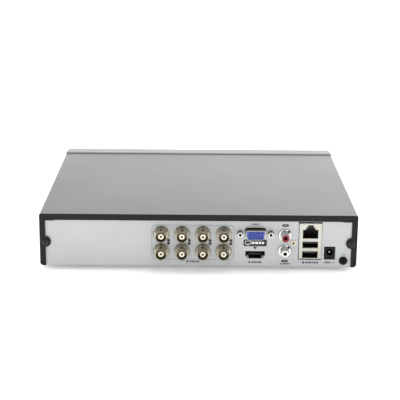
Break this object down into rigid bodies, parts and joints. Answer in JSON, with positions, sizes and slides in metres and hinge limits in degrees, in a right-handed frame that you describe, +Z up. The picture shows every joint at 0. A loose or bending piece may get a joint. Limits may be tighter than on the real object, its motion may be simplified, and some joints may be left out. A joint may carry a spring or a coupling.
{
  "type": "digital video recorder",
  "caption": "Low desktop video recorder with a dark folded cover and a pale rear panel of coaxial, monitor, audio, network and power sockets; cover slides off backwards.",
  "frame": {"origin": "middle of the outline, sockets included, on the plane the rubber feet stand on", "axes": "+Z up, +Y out of the rear socket panel, -Y out of the front fascia, +X along the width"},
  "size_m": [0.26, 0.2304, 0.049],
  "materials": {
    "panel_steel": "satin silver coat",
    "cover_paint": "semi-gloss dark powder coat",
    "fascia_plastic": "smooth pale plastic",
    "gloss_window": "high gloss black",
    "clear_lens": "clear",
    "circuit_board": "green solder mask",
    "tinned_steel": "plated, satin",
    "foot_rubber": "matte",
    "black_steel": "black zinc",
    "die_cast_nickel": "warm nickel plate",
    "cream_insulator": "moulded",
    "bright_nickel": "bright plate",
    "blue_plastic": "moulded",
    "black_plastic": "moulded",
    "white_plastic": "moulded",
    "red_plastic": "moulded",
    "cast_aluminium": "cast and machined",
    "cable_red": "soft",
    "cable_black": "soft"
  },
  "bodies": {
    "chassis": {"chassis_tray": "panel_steel", "front_fascia": "fascia_plastic", "fascia_window": "gloss_window", "led_light_guide": "clear_lens", "front_board": "circuit_board", "main_board": "circuit_board", "drive_board": "circuit_board", "front_usb_port": "tinned_steel", "lan_usb_shield": "tinned_steel", "foot_front_left": "foot_rubber", "foot_front_right": "foot_rubber", "foot_rear_left": "foot_rubber", "foot_rear_right": "foot_rubber", "bnc_pair_1": "die_cast_nickel", "bnc_pair_2": "die_cast_nickel", "bnc_pair_3": "die_cast_nickel", "bnc_pair_4": "die_cast_nickel", "audio_screw": "die_cast_nickel", "bnc_insulator_1": "cream_insulator", "bnc_insulator_2": "cream_insulator", "bnc_insulator_3": "cream_insulator", "bnc_insulator_4": "cream_insulator", "bnc_insulator_5": "cream_insulator", "bnc_insulator_6": "cream_insulator", "bnc_insulator_7": "cream_insulator", "bnc_insulator_8": "cream_insulator", "vga_shell": "bright_nickel", "vga_jackscrew_left": "bright_nickel", "vga_jackscrew_right": "bright_nickel", "hdmi_shell": "bright_nickel", "audio_out_shell": "bright_nickel", "audio_in_shell": "bright_nickel", "power_pin": "bright_nickel", "coin_cell": "bright_nickel", "drive_cover": "bright_nickel", "vga_insert": "blue_plastic", "hdmi_tongue": "black_plastic", "audio_housing": "black_plastic", "lan_usb_core": "black_plastic", "power_jack": "black_plastic", "processor": "black_plastic", "battery_holder": "black_plastic", "fan_frame": "black_plastic", "audio_out_insulator": "white_plastic", "audio_in_insulator": "red_plastic", "heatsink": "cast_aluminium", "drive_case": "cast_aluminium", "sata_cable": "cable_red", "drive_power_cable": "cable_black", "fan_lead": "cable_black", "front_cable": "cable_black"},
    "cover": {"top_cover": "cover_paint", "cover_screw_left": "black_steel", "cover_screw_right": "black_steel"},
    "fan_impeller": {"fan_rotor": "black_plastic"},
    "disc_spindle": {"drive_platters": "bright_nickel"},
    "head_arm": {"drive_head_arm": "cast_aluminium"},
    "earth_washer": {"ground_washer": "black_steel"},
    "earth_screw": {"ground_screw": "black_steel"}
  },
  "joints": [
    {"name": "cover_slide", "type": "slide", "parent": "chassis", "child": "cover", "axis": [0, 1, 0], "range_m": [0, 0.225]},
    {"name": "fan_spin", "type": "hinge", "parent": "chassis", "child": "fan_impeller", "pos_m": [0.1226, 0.07875, 0.0249], "axis": [1, 0, 0], "continuous": true},
    {"name": "disc_spin", "type": "hinge", "parent": "chassis", "child": "disc_spindle", "pos_m": [0.0682, -0.04475, 0.0225], "axis": [0, 0, 1], "continuous": true},
    {"name": "head_swing", "type": "hinge", "parent": "chassis", "child": "head_arm", "pos_m": [0.0942, 0.00475, 0.0225], "axis": [0, 0, 1], "range_deg": [0, 36]},
    {"name": "earth_washer_travel", "type": "slide", "parent": "chassis", "child": "earth_washer", "axis": [0, 1, 0], "range_m": [0, 0.0015]},
    {"name": "earth_screw_turn", "type": "hinge", "parent": "earth_washer", "child": "earth_screw", "pos_m": [-0.1191, 0.10645, 0.009], "axis": [0, 1, 0], "range_deg": [0, 1080]}
  ],
  "couplings": [
    {"joint": "earth_screw_turn", "follows": "earth_washer_travel", "rad_per_m": 12566}
  ]
}
